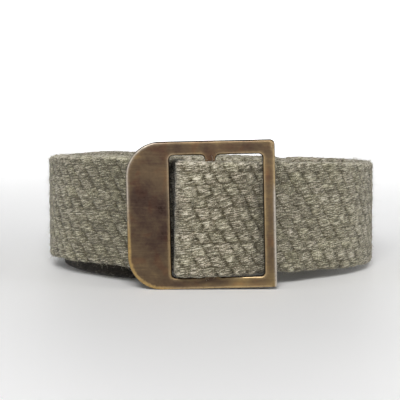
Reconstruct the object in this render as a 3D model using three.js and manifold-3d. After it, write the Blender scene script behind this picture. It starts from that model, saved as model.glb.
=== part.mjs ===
// A stretch webbing belt, closed through a flat brass slide buckle and standing on its edge.
// Millimetres, +Z up, the buckle's face towards -Y. Plan points are measured from the buckle's
// middle, with y = 0 on its front face, and the whole belt is centred on the origin at the end.
import * as THREE from "three";
import Module from "manifold-3d";
import { mergeVertices } from "three/addons/utils/BufferGeometryUtils.js";

const wasm = await Module();
wasm.setup();

// Webbing
const THICK = 3.6;
const HALF = THICK / 2;
const EDGE_ROUND = 0.9; // selvage radius
const LAYER_GAP = 0.8; // between the two turns of the ring
const TIP_LENGTH = 14; // straight stretch at the free end

// The ring that the belt is closed into, seen from above
const RING = { x: 3.9, y: 73, outer: 64.1 };
const INNER_PINCH = 2.2; // how much tighter the inner turn starts than it goes on
const PINCH_SHARE = 0.3; // share of the turn in which it widens

// Bends of the band near the buckle
const FRONT_GAP = 0.4; // between the band and the centre bar that it lies over
const OVER_BAR = { x: 5.8, outer: 21 };
const SLOT_BEND = { x: -4, radius: 3.3 };
const TAIL_BEND = { y: 9, radius: 8 };
const SEWN_END = { length: 26, gap: 0.3, swingFrom: 11, swingRadius: 8 };

// Buckle
const BUCKLE = {
  left: -24.8,
  right: 26,
  height: 50.6,
  thick: 2.4,
  edge: 0.4, // bevel all round
  leftCorner: 11.7,
  rightTopCorner: 1.6,
  rightFootCorner: 0.9,
};
const WINDOW = { left: -9.9, right: 21.8, foot: 4, top: 45.8, corner: 1.4 };
const CENTRE_BAR = { left: 2.2, right: 5.8, fillet: 2 };
const REAR_BAR = { x: -18, y: 9, radius: 1.5 };
const LUG = { width: 4, height: 2.2, foot: 3.3, top: 45.6, margin: 0.4 };
const ROLL = THREE.MathUtils.degToRad(1.3); // the buckle leans, its right side is higher
const ROLL_PIVOT = BUCKLE.left + BUCKLE.leftCorner;
const ROLL_FADE = { from: 12, to: 45 }; // the band follows the lean up to here

// How far the band's lower edge stands off the surface, and its width. A turn of 0 is at the
// buckle, 0.25 at the left end, 0.5 at the back and 0.75 at the right end, and so on inside.
const SECTIONS = [
  { place: "rear bar", turn: 0.05, lift: 6.1, width: 38.6 },
  { place: "left flank", turn: 0.08, lift: 6.8, width: 38.2 },
  { place: "left", turn: 0.17, lift: 5.3, width: 38.5 },
  { place: "left end", turn: 0.25, lift: 3.4, width: 38.7 },
  { place: "past the left end", turn: 0.285, lift: 3, width: 38.8 },
  { place: "behind the left end", turn: 0.315, lift: 3.8, width: 39 },
  { place: "left of the back", turn: 0.37, lift: 4.2, width: 39 },
  { place: "back, left half", turn: 0.42, lift: 3.4, width: 39 },
  { place: "back", turn: 0.49, lift: 2.1, width: 39 },
  { place: "back, right half", turn: 0.56, lift: 1.5, width: 39 },
  { place: "right of the back", turn: 0.615, lift: 0, width: 39 },
  { place: "behind the right end", turn: 0.66, lift: 0, width: 39 },
  { place: "before the right end", turn: 0.7, lift: 1.3, width: 39 },
  { place: "right end", turn: 0.76, lift: 1.7, width: 39.2 },
  { place: "past the right end", turn: 0.8, lift: 2.1, width: 39.2 },
  { place: "right", turn: 0.83, lift: 2.7, width: 39 },
  { place: "right flank", turn: 0.86, lift: 2.6, width: 39 },
  { place: "near the buckle", turn: 0.92, lift: 3, width: 38.9 },
  { place: "behind the right bar", turn: 0.95, lift: 4.2, width: 38.7 },
  { place: "right side of the window", turn: 0.965, lift: 4.6, width: 38.3 },
  { place: "window", turn: 1, lift: 4.5, width: 39.1 },
  { place: "left slot", turn: 1.035, lift: 4.5, width: 39.8 },
  { place: "inner left flank", turn: 1.085, lift: 0.4, width: 39.2 },
  { place: "inner left", turn: 1.22, lift: 0.4, width: 39 },
  { place: "inner left end", turn: 1.32, lift: 3.2, width: 39 },
  { place: "inner left of the back", turn: 1.37, lift: 3.8, width: 39 },
  { place: "inner back", turn: 1.49, lift: 1.7, width: 39 },
  { place: "inner back, right half", turn: 1.56, lift: 1.1, width: 39 },
  { place: "inner right of the back", turn: 1.63, lift: 0.3, width: 39 },
  { place: "inner, behind the right end", turn: 1.68, lift: 0.8, width: 39 },
  { place: "inner right end", turn: 1.76, lift: 2.2, width: 39 },
  { place: "inner right", turn: 1.81, lift: 3.3, width: 39 },
  { place: "inner right flank", turn: 1.855, lift: 4.2, width: 39 },
  { place: "free end", turn: 1.92, lift: 4.7, width: 39 },
];

const ARC_STEP = THREE.MathUtils.degToRad(6);
const BEND_STEP = THREE.MathUtils.degToRad(15);
const LINE_STEP = 9;
const TIGHT = 12; // arcs of a smaller radius take the bend's step

const direction = (angle) => new THREE.Vector2(Math.cos(angle), Math.sin(angle));

// The band's middle line runs round circles joined by their shared tangents. A positive radius
// turns clockwise and a negative one anticlockwise; the angle is that of the band's left side.
function tangentAngle(from, to) {
  const across = to.centre.clone().sub(from.centre);
  return across.angle() + Math.acos((from.radius - to.radius) / across.length());
}

function circle(x, y, radius, endRadius = radius) {
  return { centre: new THREE.Vector2(x, y), radius, endRadius };
}

function beltCircles() {
  const loop = circle(REAR_BAR.x, REAR_BAR.y, THICK + SEWN_END.gap);
  const ring = circle(RING.x, RING.y, RING.outer - HALF);
  const flank = tangentAngle(loop, ring);
  const outward = direction(flank);
  const back = direction(flank - Math.PI / 2);

  // The sewn end lies flat behind the band and swings out to pass round the bar.
  const swing = circle(0, 0, -SEWN_END.swingRadius);
  swing.centre
    .copy(loop.centre)
    .addScaledVector(back, SEWN_END.swingFrom)
    .addScaledVector(outward, swing.radius);
  const sewnEnd = circle(0, 0, 0);
  sewnEnd.centre.copy(loop.centre).addScaledVector(back, SEWN_END.length);

  const front = -FRONT_GAP - HALF; // middle line where the band lies over the centre bar
  const overBar = circle(OVER_BAR.x, front + OVER_BAR.outer - HALF, OVER_BAR.outer - HALF);
  const slotBend = circle(SLOT_BEND.x, front + SLOT_BEND.radius, SLOT_BEND.radius);
  const tailX = SLOT_BEND.x - SLOT_BEND.radius - TAIL_BEND.radius;
  const tailBend = circle(tailX, TAIL_BEND.y, -TAIL_BEND.radius);

  const innerRadius = ring.radius - THICK - LAYER_GAP;
  const innerRing = circle(RING.x, RING.y, innerRadius - INNER_PINCH, innerRadius);
  const last = tangentAngle(ring, overBar);
  const tip = circle(0, 0, 0);
  tip.centre
    .copy(innerRing.centre)
    .addScaledVector(direction(last), innerRadius)
    .addScaledVector(direction(last - Math.PI / 2), TIP_LENGTH);
  return [sewnEnd, swing, loop, ring, overBar, slotBend, tailBend, innerRing, tip];
}

// Points along the middle line, each with the angle of the band's left side
function beltLine() {
  const circles = beltCircles();
  const line = [];
  const add = (point, angle) => line.push({ point, angle });
  circles.forEach((here, i) => {
    const next = circles[i + 1];
    const leaves = next ? tangentAngle({ ...here, radius: here.endRadius }, next) : 0;
    const enters = i ? line[line.length - 1].angle : leaves;
    const exit = next ? leaves : enters;
    let sweep = THREE.MathUtils.euclideanModulo(exit - enters, 2 * Math.PI);
    if (here.radius > 0) sweep -= 2 * Math.PI;
    if (here.radius === 0) sweep = 0;
    const step = Math.abs(here.radius) < TIGHT ? BEND_STEP : ARC_STEP;
    const steps = Math.max(here.radius ? 1 : 0, Math.ceil(Math.abs(sweep) / step));
    for (let k = 0; k <= steps; k += 1) {
      const part = steps ? k / steps : 0;
      const grown = THREE.MathUtils.smoothstep(part, 0, PINCH_SHARE);
      const radius = THREE.MathUtils.lerp(here.radius, here.endRadius, grown);
      const angle = enters + sweep * part;
      const point = here.centre.clone().addScaledVector(direction(angle), radius);
      add(point, angle);
    }
    if (!next) return;
    const start = line[line.length - 1];
    const end = next.centre.clone().addScaledVector(direction(leaves), next.radius);
    const parts = Math.ceil(start.point.distanceTo(end) / LINE_STEP);
    for (let k = 1; k < parts; k += 1) add(start.point.clone().lerp(end, k / parts), leaves);
  });
  return line;
}

// Turns made so far, from the bearing round the ring's middle
function turnAt(point, before) {
  const bearing = Math.atan2(point.y - RING.y, point.x - RING.x) / (2 * Math.PI);
  const turn = 0.75 - bearing;
  return turn + Math.round(before - turn);
}

function sectionAt(turn) {
  const last = SECTIONS[SECTIONS.length - 1];
  if (turn <= SECTIONS[0].turn) return SECTIONS[0];
  if (turn >= last.turn) return last;
  const above = SECTIONS.findIndex((row) => row.turn > turn);
  const [low, high] = [SECTIONS[above - 1], SECTIONS[above]];
  const eased = THREE.MathUtils.smoothstep(turn, low.turn, high.turn);
  return {
    lift: THREE.MathUtils.lerp(low.lift, high.lift, eased),
    width: THREE.MathUtils.lerp(low.width, high.width, eased),
  };
}

// Outline of the band's cross-section as offsets outward and upward, anticlockwise
function sectionOutline(width) {
  const corners = [
    { out: 1, up: -1, from: -90 },
    { out: 1, up: 1, from: 0 },
    { out: -1, up: 1, from: 90 },
    { out: -1, up: -1, from: 180 },
  ];
  return corners.flatMap(({ out, up, from }) => [0, 45, 90].map((turn) => {
    const corner = direction(THREE.MathUtils.degToRad(from + turn)).multiplyScalar(EDGE_ROUND);
    corner.x += out * (HALF - EDGE_ROUND);
    corner.y += up * (width / 2 - EDGE_ROUND);
    return corner;
  }));
}

// Leans a point with the buckle, less and less towards the ring
function leanWithBuckle(point) {
  const share = 1 - THREE.MathUtils.smoothstep(point.y, ROLL_FADE.from, ROLL_FADE.to);
  const angle = ROLL * share;
  const [x, z] = [point.x - ROLL_PIVOT, point.z];
  point.x = ROLL_PIVOT + x * Math.cos(angle) - z * Math.sin(angle);
  point.z = x * Math.sin(angle) + z * Math.cos(angle);
  return point;
}

function webbingGeometry() {
  const line = beltLine();
  const positions = [];
  const indices = [];
  let turn = 0;
  line.forEach(({ point, angle }) => {
    turn = turnAt(point, turn);
    const { lift, width } = sectionAt(turn);
    const out = direction(angle);
    sectionOutline(width).forEach((offset) => {
      const plan = point.clone().addScaledVector(out, offset.x);
      const corner = new THREE.Vector3(plan.x, plan.y, lift + width / 2 + offset.y);
      positions.push(...leanWithBuckle(corner).toArray());
    });
  });
  const around = positions.length / 3 / line.length;
  for (let i = 0; i + 1 < line.length; i += 1) {
    for (let j = 0; j < around; j += 1) {
      const [a, b] = [i * around + j, i * around + ((j + 1) % around)];
      indices.push(a, b, a + around, b, b + around, a + around);
    }
  }
  const end = (line.length - 1) * around;
  for (let j = 1; j + 1 < around; j += 1) {
    indices.push(0, j + 1, j);
    indices.push(end, end + j, end + j + 1);
  }
  const geometry = new THREE.BufferGeometry();
  geometry.setAttribute("position", new THREE.Float32BufferAttribute(positions, 3));
  geometry.setIndex(indices);
  return geometry;
}

function toSolid(geometry) {
  const bare = geometry.clone();
  bare.deleteAttribute("normal");
  bare.deleteAttribute("uv");
  const merged = mergeVertices(bare, 1e-4);
  return new wasm.Manifold(new wasm.Mesh({
    numProp: 3,
    vertProperties: new Float32Array(merged.attributes.position.array),
    triVerts: new Uint32Array(merged.index.array),
  }));
}

function toGeometry(solid) {
  const mesh = solid.getMesh();
  const geometry = new THREE.BufferGeometry();
  geometry.setAttribute("position", new THREE.BufferAttribute(mesh.vertProperties, 3));
  geometry.setIndex(new THREE.BufferAttribute(mesh.triVerts, 1));
  return geometry;
}

// A rounded outline through corner points in order, each with its own radius
function roundedPath(path, corners) {
  const count = corners.length;
  corners.forEach((corner, i) => {
    const at = new THREE.Vector2(corner.x, corner.z);
    const before = corners[(i + count - 1) % count];
    const after = corners[(i + 1) % count];
    const toBefore = new THREE.Vector2(before.x, before.z).sub(at).normalize();
    const toAfter = new THREE.Vector2(after.x, after.z).sub(at).normalize();
    const start = at.clone().addScaledVector(toBefore, corner.radius);
    const centre = start.clone().addScaledVector(toAfter, corner.radius);
    const from = toAfter.clone().negate().angle();
    const to = toBefore.clone().negate().angle();
    const clockwise = toBefore.cross(toAfter) > 0;
    path.absarc(centre.x, centre.y, corner.radius, from, to, clockwise);
  });
  path.closePath();
  return path;
}

function slot(left, right, leftTop, rightTop) {
  return roundedPath(new THREE.Path(), [
    { x: left, z: WINDOW.foot, radius: WINDOW.corner },
    { x: left, z: WINDOW.top, radius: leftTop },
    { x: right, z: WINDOW.top, radius: rightTop },
    { x: right, z: WINDOW.foot, radius: WINDOW.corner },
  ]);
}

function frameGeometry() {
  const outline = roundedPath(new THREE.Shape(), [
    { x: BUCKLE.left, z: 0, radius: BUCKLE.leftCorner },
    { x: BUCKLE.right, z: 0, radius: BUCKLE.rightFootCorner },
    { x: BUCKLE.right, z: BUCKLE.height, radius: BUCKLE.rightTopCorner },
    { x: BUCKLE.left, z: BUCKLE.height, radius: BUCKLE.leftCorner },
  ]);
  outline.holes.push(slot(WINDOW.left, CENTRE_BAR.left, WINDOW.corner, CENTRE_BAR.fillet));
  outline.holes.push(slot(CENTRE_BAR.right, WINDOW.right, CENTRE_BAR.fillet, WINDOW.corner));
  const geometry = new THREE.ExtrudeGeometry(outline, {
    depth: BUCKLE.thick - 2 * BUCKLE.edge,
    bevelThickness: BUCKLE.edge,
    bevelSize: BUCKLE.edge,
    bevelOffset: -BUCKLE.edge,
    bevelSegments: 2,
    curveSegments: 4,
  });
  geometry.rotateX(Math.PI / 2);
  geometry.translate(0, BUCKLE.thick - BUCKLE.edge, 0);
  return geometry;
}

function rearBarSolid() {
  const span = LUG.top - LUG.foot + LUG.height;
  const bar = new THREE.CylinderGeometry(REAR_BAR.radius, REAR_BAR.radius, span, 16);
  bar.rotateX(Math.PI / 2);
  bar.translate(REAR_BAR.x, REAR_BAR.y, LUG.foot + span / 2);
  const reach = REAR_BAR.y + REAR_BAR.radius + LUG.margin - BUCKLE.thick / 2;
  return [LUG.foot, LUG.top].reduce((solid, foot) => {
    const lug = new THREE.BoxGeometry(LUG.width, reach, LUG.height);
    lug.translate(REAR_BAR.x, BUCKLE.thick / 2 + reach / 2, foot + LUG.height / 2);
    return solid.add(toSolid(lug));
  }, toSolid(bar));
}

function buckleGeometry() {
  const geometry = toGeometry(toSolid(frameGeometry()).add(rearBarSolid()));
  geometry.translate(-ROLL_PIVOT, 0, 0);
  geometry.rotateY(-ROLL);
  geometry.translate(ROLL_PIVOT, 0, 0);
  return geometry;
}

const fabric = new THREE.MeshStandardMaterial({ color: 0x8f8a76, roughness: 0.95, metalness: 0 });
const brass = new THREE.MeshStandardMaterial({ color: 0x6d5a40, roughness: 0.38, metalness: 1 });

function piece(name, geometry, material) {
  const faceted = geometry.index ? geometry.toNonIndexed() : geometry;
  faceted.computeVertexNormals();
  const mesh = new THREE.Mesh(faceted, material);
  mesh.name = name;
  return mesh;
}

const belt = new THREE.Group();
belt.add(piece("webbing", webbingGeometry(), fabric));
belt.add(piece("buckle", buckleGeometry(), brass));

const box = new THREE.Box3().setFromObject(belt);
const middle = box.getCenter(new THREE.Vector3());
belt.position.set(-middle.x, -middle.y, -box.min.z);
belt.updateMatrixWorld(true);

export default belt;
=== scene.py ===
"""A stretch webbing belt, closed through a flat antique brass slide buckle and standing on its edge."""
import math

import bpy
import numpy as np
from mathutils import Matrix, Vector
from mathutils.geometry import delaunay_2d_cdt


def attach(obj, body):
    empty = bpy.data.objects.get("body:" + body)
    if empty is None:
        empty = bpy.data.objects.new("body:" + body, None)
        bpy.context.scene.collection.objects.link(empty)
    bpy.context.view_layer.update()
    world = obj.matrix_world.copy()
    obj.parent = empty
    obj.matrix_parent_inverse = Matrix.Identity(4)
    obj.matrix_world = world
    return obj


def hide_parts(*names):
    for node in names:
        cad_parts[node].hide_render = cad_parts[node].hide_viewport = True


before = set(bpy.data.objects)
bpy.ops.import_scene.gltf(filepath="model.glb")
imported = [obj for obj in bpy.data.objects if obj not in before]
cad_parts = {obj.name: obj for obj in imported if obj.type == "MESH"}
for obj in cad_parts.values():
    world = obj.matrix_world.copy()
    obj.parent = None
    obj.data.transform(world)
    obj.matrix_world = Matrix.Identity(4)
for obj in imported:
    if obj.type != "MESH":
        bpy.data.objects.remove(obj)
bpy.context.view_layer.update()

# Sizes are in millimetres and plan points are measured from near the buckle's middle, with y = 0
# on its front face, as in the CAD source. SHIFT takes them to the part's frame.
SHIFT = np.array([-3.904, -66.547, 0.0])
TAU = 2 * math.pi

# Webbing
THICK = 3.6
HALF = THICK / 2
LAYER_GAP = 0.8  # between the outer and the inner turn
TIP_LENGTH = 14.0  # straight end of the inner turn
RING = {"x": 3.9, "y": 73.0, "outer": 64.1}
INNER_PINCH = 2.2  # how much tighter the inner turn starts
PINCH_SHARE = 0.3  # of that turn, where it widens again
FRONT_GAP = 0.4  # to the buckle's front face
OVER_BAR = {"x": 5.8, "outer": 21.0}
SLOT_BEND = {"x": -4.0, "radius": 3.3}
TAIL_BEND = {"y": 9.0, "radius": 8.0}
SEWN_END = {"length": 26.0, "gap": 0.3, "swing_from": 11.0, "swing_radius": 8.0}

# Buckle
BUCKLE = {"left": -24.8, "right": 26.0, "height": 50.6, "thick": 2.4}
OUTER_CORNERS = {"left": 11.7, "right_top": 1.6, "right_foot": 0.9}
WINDOW = {"left": -9.9, "right": 21.8, "foot": 4.0, "top": 45.8, "corner": 1.4}
CENTRE_BAR = {"left": 2.1, "right": 5.9, "fillet": 1.5}
REAR_BAR = {"x": -18.0, "y": 9.0, "radius": 1.5, "rounding": 0.35}
LUG = {"width": 4.0, "height": 2.2, "foot": 3.3, "top": 45.6, "margin": 0.4, "rounding": 0.5}
ROLL = math.radians(1.3)
ROLL_PIVOT = BUCKLE["left"] + OUTER_CORNERS["left"]
ROLL_FADE = (12.0, 45.0)  # how far back the band rolls with the buckle
SLOT_SLANT = {"slope": 0.05, "foot": 8.0}  # the band turns into the slot further right at its top

# Turns made since the rear bar, height of the lower edge over the surface, width
SECTIONS = np.array([
    (0.050, 6.1, 38.9), (0.080, 6.8, 38.8), (0.170, 5.3, 39.2), (0.250, 3.4, 39.2),
    (0.285, 3.0, 39.1), (0.315, 3.8, 39.0), (0.370, 4.2, 39.0), (0.420, 3.4, 39.0),
    (0.490, 2.1, 39.0), (0.560, 1.5, 39.0), (0.615, 0.0, 39.0), (0.660, 0.0, 39.0),
    (0.700, 1.3, 39.0), (0.760, 1.7, 39.2), (0.800, 2.1, 39.2), (0.830, 2.7, 39.0),
    (0.860, 2.6, 39.0), (0.920, 3.0, 38.9), (0.950, 4.2, 38.7), (0.965, 4.6, 38.3),
    (1.000, 4.5, 39.1), (1.035, 4.5, 39.8), (1.085, 0.4, 39.2), (1.220, 0.4, 39.0),
    (1.320, 3.2, 39.0), (1.370, 3.8, 39.0), (1.490, 1.7, 39.0), (1.560, 1.1, 39.0),
    (1.630, 0.3, 39.0), (1.680, 0.8, 39.0), (1.760, 2.2, 39.0), (1.810, 3.3, 39.0),
    (1.855, 4.2, 39.0), (1.920, 4.7, 39.0),
])

# The look of the band along its run, as pairs of turns made and a value
RUN = {
    # How far the elastic weave is drawn out
    "stretch": [(0.0, 1.0), (0.04, 1.3), (0.07, 1.6), (0.17, 1.5), (0.25, 1.25), (0.75, 1.25),
                (0.84, 1.4), (0.94, 1.38), (0.955, 1.1), (0.97, 1.0), (1.9, 1.0)],
    # How marked its pits and grooves are
    "plump": [(0.0, 1.0), (0.05, 0.75), (0.10, 0.74), (0.25, 0.85), (0.75, 0.75), (0.84, 0.62),
              (0.94, 0.62), (0.965, 1.0), (1.9, 1.0)],
    # Painted light and shade: how much lighter the yarn is painted where more light falls, and darker
    # where shade falls, as by the plate and where the band turns behind the window's right bar
    "tone": [(0.05, -0.22), (0.10, -0.19), (0.14, -0.10), (0.20, 0.0), (0.73, 0.14), (0.82, 0.10),
             (0.88, -0.03), (0.93, -0.08), (0.95, -0.16), (0.962, -0.23), (0.975, -0.19),
             (0.99, -0.14), (1.01, -0.05), (1.06, 0.0), (1.30, 0.0), (1.35, 0.12), (1.9, 0.12)],
    # How much greener the yarn is, below 0
    "hue": [(0.05, -0.30), (0.25, -0.30), (0.40, 0.0), (0.70, 0.0), (0.80, -0.20), (0.94, -0.25),
            (0.97, 0.0), (1.9, 0.0)],
    # Painted highlight: how much lighter its upper selvage is painted where it faces up to the light
    "selvage": [(0.05, 0.60), (0.30, 0.60), (0.50, 0.30), (0.72, 0.40), (0.80, 0.36),
                (0.94, 0.24), (1.02, 0.26), (1.30, 0.15), (1.90, 0.20)],
}


def run_value(name, turn):
    turns, values = zip(*RUN[name])
    return np.interp(turn, turns, values)


def smoothstep(value, low, high):
    """0 up to low, 1 from high on."""
    part = np.clip((value - low) / (high - low), 0, 1)
    return part * part * (3 - 2 * part)


def falling(value, low, high):
    """1 up to low, 0 from high on."""
    return 1 - smoothstep(value, low, high)


def unit(angle):
    return np.array([math.cos(angle), math.sin(angle)])


def normalised(vectors):
    return vectors / np.linalg.norm(vectors, axis=1, keepdims=True)


# The band's middle line: circles joined by shared tangents, as in the CAD source. A circle is
# (centre, radius where it starts, radius where it ends); a positive radius turns clockwise, and
# a radius of 0 makes it a point.
def circle(centre, radius, end_radius=None):
    return np.array(centre, float), radius, radius if end_radius is None else end_radius


def tangent_angle(centre, radius, towards):
    across = towards[0] - centre
    return math.atan2(across[1], across[0]) + math.acos((radius - towards[1]) / np.hypot(*across))


def belt_circles():
    loop = circle((REAR_BAR["x"], REAR_BAR["y"]), THICK + SEWN_END["gap"])
    ring = circle((RING["x"], RING["y"]), RING["outer"] - HALF)
    flank = tangent_angle(loop[0], loop[1], ring)
    outward, back = unit(flank), unit(flank - math.pi / 2)
    swing_radius = -SEWN_END["swing_radius"]
    swing = circle(loop[0] + back * SEWN_END["swing_from"] + outward * swing_radius, swing_radius)
    sewn_end = circle(loop[0] + back * SEWN_END["length"], 0.0)
    front = -FRONT_GAP - HALF
    bar_radius = OVER_BAR["outer"] - HALF
    over_bar = circle((OVER_BAR["x"], front + bar_radius), bar_radius)
    slot_bend = circle((SLOT_BEND["x"], front + SLOT_BEND["radius"]), SLOT_BEND["radius"])
    tail_x = SLOT_BEND["x"] - SLOT_BEND["radius"] - TAIL_BEND["radius"]
    tail_bend = circle((tail_x, TAIL_BEND["y"]), -TAIL_BEND["radius"])
    inner_radius = ring[1] - THICK - LAYER_GAP
    inner_ring = circle(ring[0], inner_radius - INNER_PINCH, inner_radius)
    last = tangent_angle(ring[0], ring[1], over_bar)
    tip = circle(ring[0] + unit(last) * inner_radius + unit(last - math.pi / 2) * TIP_LENGTH, 0.0)
    return [sewn_end, swing, loop, ring, over_bar, slot_bend, tail_bend, inner_ring, tip]


def belt_line(step=0.2):
    """The middle line as rows of distance, x, y, angle of the band's left side, turns made."""
    circles = belt_circles()
    rows = []
    angle = tangent_angle(circles[0][0], circles[0][2], circles[1])
    for (centre, radius, end_radius), after in zip(circles, circles[1:]):
        sweep = (tangent_angle(centre, end_radius, after) - angle) % TAU
        if radius > 0:
            sweep -= TAU
        if radius == 0:
            sweep = 0.0
        count = max(1, math.ceil(abs(sweep * radius) / step))
        for part in np.linspace(0, 1, count + 1):
            grown = radius + (end_radius - radius) * smoothstep(part, 0, PINCH_SHARE)
            here = angle + sweep * part
            rows.append((*(centre + unit(here) * grown), here))
        angle += sweep
        start = np.array(rows[-1][:2])
        end = after[0] + unit(angle) * after[1]
        count = math.ceil(np.hypot(*(end - start)) / step)
        rows += [(*(start + (end - start) * k / count), angle) for k in range(1, count)]
    rows.append((*circles[-1][0], angle))
    line = np.array(rows)
    gaps = np.hypot(*np.diff(line[:, :2], axis=0).T)
    distance = np.concatenate([[0.0], np.cumsum(gaps)])
    bearing = np.arctan2(line[:, 1] - RING["y"], line[:, 0] - RING["x"])
    turn = np.unwrap(0.75 * TAU - bearing) / TAU
    turn -= round(turn[0])
    return np.column_stack([distance, line, turn])


LINE = belt_line()
LENGTH = LINE[-1, 0]
# Distance along the band were its weave not drawn out, at the rows of LINE
RELAXED = np.concatenate([[0.0], np.cumsum(np.diff(LINE[:, 0]) / run_value("stretch", LINE[1:, 4]))])


def relaxed_at(along):
    return np.interp(along, LINE[:, 0], RELAXED)


def distance_at(turn):
    """Distance along the band where it has made that many turns, or its end."""
    return float(np.interp(turn, np.maximum.accumulate(LINE[:, 4]), LINE[:, 0]))


def lean(points, share):
    """Rolls points with the buckle, by a share of its lean."""
    x, z = points[..., 0] - ROLL_PIVOT, points[..., 2]
    cos, sin = np.cos(ROLL * share), np.sin(ROLL * share)
    return np.stack([ROLL_PIVOT + x * cos - z * sin, points[..., 1], x * sin + z * cos], axis=-1)


# Meshes
def add_mesh(name, points, triangles, material, fields=None, flat_from=None):
    """Makes an object from millimetre points and triangles; triangles from flat_from on are flat."""
    mesh = bpy.data.meshes.new(name)
    points = (np.asarray(points, float) + SHIFT) / 1000
    triangles = np.asarray(triangles, np.int32)
    mesh.vertices.add(len(points))
    mesh.vertices.foreach_set("co", points.astype(np.float32).ravel())
    mesh.loops.add(triangles.size)
    mesh.loops.foreach_set("vertex_index", triangles.ravel())
    mesh.polygons.add(len(triangles))
    mesh.polygons.foreach_set("loop_start", np.arange(0, triangles.size, 3, dtype=np.int32))
    mesh.update(calc_edges=True)
    if flat_from is None:
        flat_from = len(triangles)
    mesh.polygons.foreach_set("use_smooth", np.arange(len(triangles)) < flat_from)
    for field, values in (fields or {}).items():
        values = np.asarray(values, np.float32)
        kind = ("FLOAT", "value") if values.ndim == 1 else ("FLOAT_VECTOR", "vector")
        attribute = mesh.attributes.new(field, kind[0], "POINT")
        attribute.data.foreach_set(kind[1], values.ravel())
    mesh.validate()
    mesh.update()
    mesh.materials.append(material)
    obj = bpy.data.objects.new(name, mesh)
    bpy.context.scene.collection.objects.link(obj)
    return obj


def place(obj, node):
    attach(obj, "root")
    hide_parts(node)


def ring_strip(size, rings):
    """Triangles between closed rings of points that follow one another."""
    a = np.arange(size) + size * np.arange(rings - 1)[:, None]
    b = np.roll(a, -1, axis=1)
    return np.stack([a, b, a + size, b, b + size, a + size], axis=-1).reshape(-1, 3)


def closed_tube(rings):
    """Points and triangles of a tube of rings, closed at each end round a middle point."""
    count, size, _ = rings.shape
    points = np.concatenate([rings.reshape(-1, 3), rings[[0, -1]].mean(axis=1)])
    here = np.arange(size)
    after = np.roll(here, -1)
    top = (count - 1) * size
    first, last = np.full(size, count * size), np.full(size, count * size + 1)
    ends = [np.column_stack([first, after, here]), np.column_stack([last, top + here, top + after])]
    return points, np.concatenate([ring_strip(size, count), *ends])


class Nodes:
    """Short forms for building a material's nodes."""

    def __init__(self, name):
        self.material = bpy.data.materials.new(name)
        self.material.use_nodes = True
        self.tree = self.material.node_tree
        self.shader = self.tree.nodes["Principled BSDF"]

    def add(self, kind, inputs=(), **settings):
        node = self.tree.nodes.new("ShaderNode" + kind)
        for key, value in settings.items():
            setattr(node, key, value)
        for key, value in dict(inputs).items():
            self.put(node.inputs[key], value)
        return node

    def put(self, socket, value):
        if hasattr(value, "is_output"):
            self.tree.links.new(value, socket)
        else:
            socket.default_value = value

    def attribute(self, name, output="Fac"):
        return self.add("Attribute", attribute_name=name).outputs[output]

    def math(self, operation, *values):
        return self.add("Math", enumerate(values), operation=operation).outputs[0]

    def total(self, value, *others):
        for other in others:
            value = self.math("ADD", value, other)
        return value

    def remap(self, value, low, high, to_low=0.0, to_high=1.0, way="SMOOTHSTEP"):
        inputs = {"Value": value, "From Min": low, "From Max": high, "To Min": to_low, "To Max": to_high}
        return self.add("MapRange", inputs, interpolation_type=way).outputs[0]

    def noise(self, vector, scale, detail=2.0, roughness=0.5, distortion=0.0):
        inputs = {"Vector": vector, "Scale": scale, "Detail": detail, "Roughness": roughness,
                  "Distortion": distortion}
        return self.add("TexNoise", inputs).outputs[0]

    def scaled(self, vector, factors):
        return self.add("VectorMath", {0: vector, 1: factors}, operation="MULTIPLY").outputs[0]

    def mix(self, factor, a, b, blend="MIX"):
        inputs = {"Factor": factor, 6: a, 7: b}
        return self.add("Mix", inputs, data_type="RGBA", blend_type=blend).outputs[2]

    def ramp(self, value, stops):
        node = self.add("ValToRGB", {"Fac": value})
        elements = node.color_ramp.elements
        while len(elements) < len(stops):
            elements.new(1.0)
        for element, (position, colour) in zip(elements, stops):
            element.position = position
            element.color = (*colour, 1.0)
        return node.outputs["Color"]

    def bump(self, height, distance, strength):
        inputs = {"Height": height, "Distance": distance, "Strength": strength}
        return self.add("Bump", inputs).outputs[0]

    def finish(self, **inputs):
        for key, value in inputs.items():
            self.put(self.shader.inputs[key.replace("_", " ")], value)
        return self.material


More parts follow.
